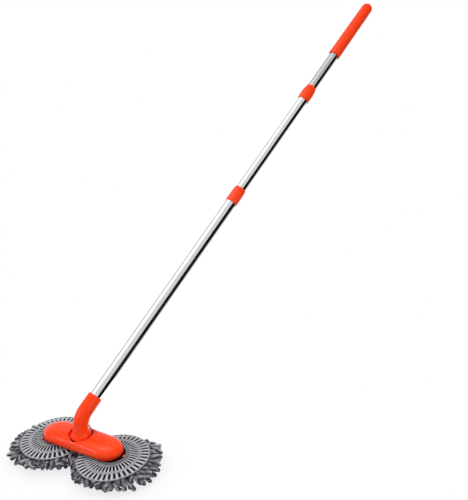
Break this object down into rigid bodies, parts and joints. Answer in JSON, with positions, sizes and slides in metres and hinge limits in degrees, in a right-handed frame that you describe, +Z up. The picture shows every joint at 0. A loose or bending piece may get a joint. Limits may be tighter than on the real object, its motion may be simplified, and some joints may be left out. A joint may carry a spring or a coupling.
{
  "type": "car wash brush",
  "caption": "Long-handled car wash brush: spinning chenille discs under an orange crossbar, a tilting, swivelling neck, and a telescopic steel pole with twist locks and a grip.",
  "frame": {"origin": "middle of the flat underside of the crossbar's base, on the axis that the crossbar swivels about", "axes": "+X along the crossbar towards the right disc, +Z up through the crossbar, +Y the side that the pole leans to; the pole rises 35 degrees and is turned 15 degrees from +Y towards +X"},
  "size_m": [0.4026, 0.9814, 0.7546],
  "materials": {
    "grip": "smooth satin orange moulding",
    "tube_upper": "polished thin-walled steel",
    "guide_plug_upper": "plain black moulding",
    "tube_middle": "polished thin-walled steel",
    "guide_plug_middle": "plain black moulding",
    "lock_ferrule_upper": "plain black moulding",
    "lock_collar_upper": "smooth satin orange moulding",
    "tube_lower": "polished thin-walled steel",
    "lock_ferrule_lower": "plain black moulding",
    "neck": "glossy orange moulding",
    "tilt_pin": "bright turned pin",
    "lock_collar_lower": "smooth satin orange moulding",
    "swivel_yoke": "orange moulding",
    "crossbar_cover": "glossy orange moulding",
    "crossbar_base": "orange moulding",
    "cover_screw": "bright screw",
    "axle_steel_left": "bright shoulder screw",
    "axle_steel_right": "bright shoulder screw",
    "hub_left": "orange moulding",
    "pad_plate_left": "satin grey moulding",
    "chenille_pad_left": "grey-purple chenille",
    "hub_right": "orange moulding",
    "pad_plate_right": "satin grey moulding",
    "chenille_pad_right": "grey-purple chenille"
  },
  "bodies": {
    "handle": {"grip": "grip", "tube_upper": "tube_upper", "guide_plug_upper": "guide_plug_upper"},
    "middle_section": {"tube_middle": "tube_middle", "guide_plug_middle": "guide_plug_middle", "lock_ferrule_upper": "lock_ferrule_upper"},
    "lock_upper": {"lock_collar_upper": "lock_collar_upper"},
    "lower_section": {"tube_lower": "tube_lower", "lock_ferrule_lower": "lock_ferrule_lower", "neck": "neck", "tilt_pin": "tilt_pin"},
    "lock_lower": {"lock_collar_lower": "lock_collar_lower"},
    "yoke": {"swivel_yoke": "swivel_yoke"},
    "crossbar": {"crossbar_cover": "crossbar_cover", "crossbar_base": "crossbar_base", "cover_screw_1": "cover_screw", "cover_screw_2": "cover_screw", "cover_screw_3": "cover_screw", "cover_screw_4": "cover_screw", "axle_screw_left": "axle_steel_left", "axle_screw_right": "axle_steel_right", "axle_washer_left": "axle_steel_left", "axle_washer_right": "axle_steel_right"},
    "disc_left": {"hub_left": "hub_left", "pad_plate_left": "pad_plate_left", "chenille_pad_left": "chenille_pad_left"},
    "disc_right": {"hub_right": "hub_right", "pad_plate_right": "pad_plate_right", "chenille_pad_right": "chenille_pad_right"}
  },
  "joints": [
    {"name": "upper_slide", "type": "slide", "parent": "handle", "child": "middle_section", "axis": [-0.212, -0.7912, -0.5736], "range_m": [-0.087, 0.115]},
    {"name": "lower_slide", "type": "slide", "parent": "middle_section", "child": "lower_section", "axis": [-0.212, -0.7912, -0.5736], "range_m": [-0.246, 0.115]},
    {"name": "lock_upper_twist", "type": "hinge", "parent": "middle_section", "child": "lock_upper", "pos_m": [0.18159, 0.6777, 0.54379], "axis": [0.212, 0.7912, 0.5736], "range_deg": [0, 90]},
    {"name": "lock_lower_twist", "type": "hinge", "parent": "lower_section", "child": "lock_lower", "pos_m": [0.11926, 0.44507, 0.37516], "axis": [0.212, 0.7912, 0.5736], "range_deg": [0, 90]},
    {"name": "neck_tilt", "type": "hinge", "parent": "lower_section", "child": "yoke", "pos_m": [0, 0, 0.013], "axis": [0.9659, -0.2588, 0], "range_deg": [-32, 24]},
    {"name": "head_swivel", "type": "hinge", "parent": "yoke", "child": "crossbar", "pos_m": [0, 0, 0], "axis": [0, 0, 1], "range_deg": [-105, 75]},
    {"name": "spin_left", "type": "hinge", "parent": "crossbar", "child": "disc_left", "pos_m": [-0.0761, 0, 0], "axis": [0, 0, 1], "continuous": true},
    {"name": "spin_right", "type": "hinge", "parent": "crossbar", "child": "disc_right", "pos_m": [0.0761, 0, 0], "axis": [0, 0, 1], "continuous": true}
  ]
}
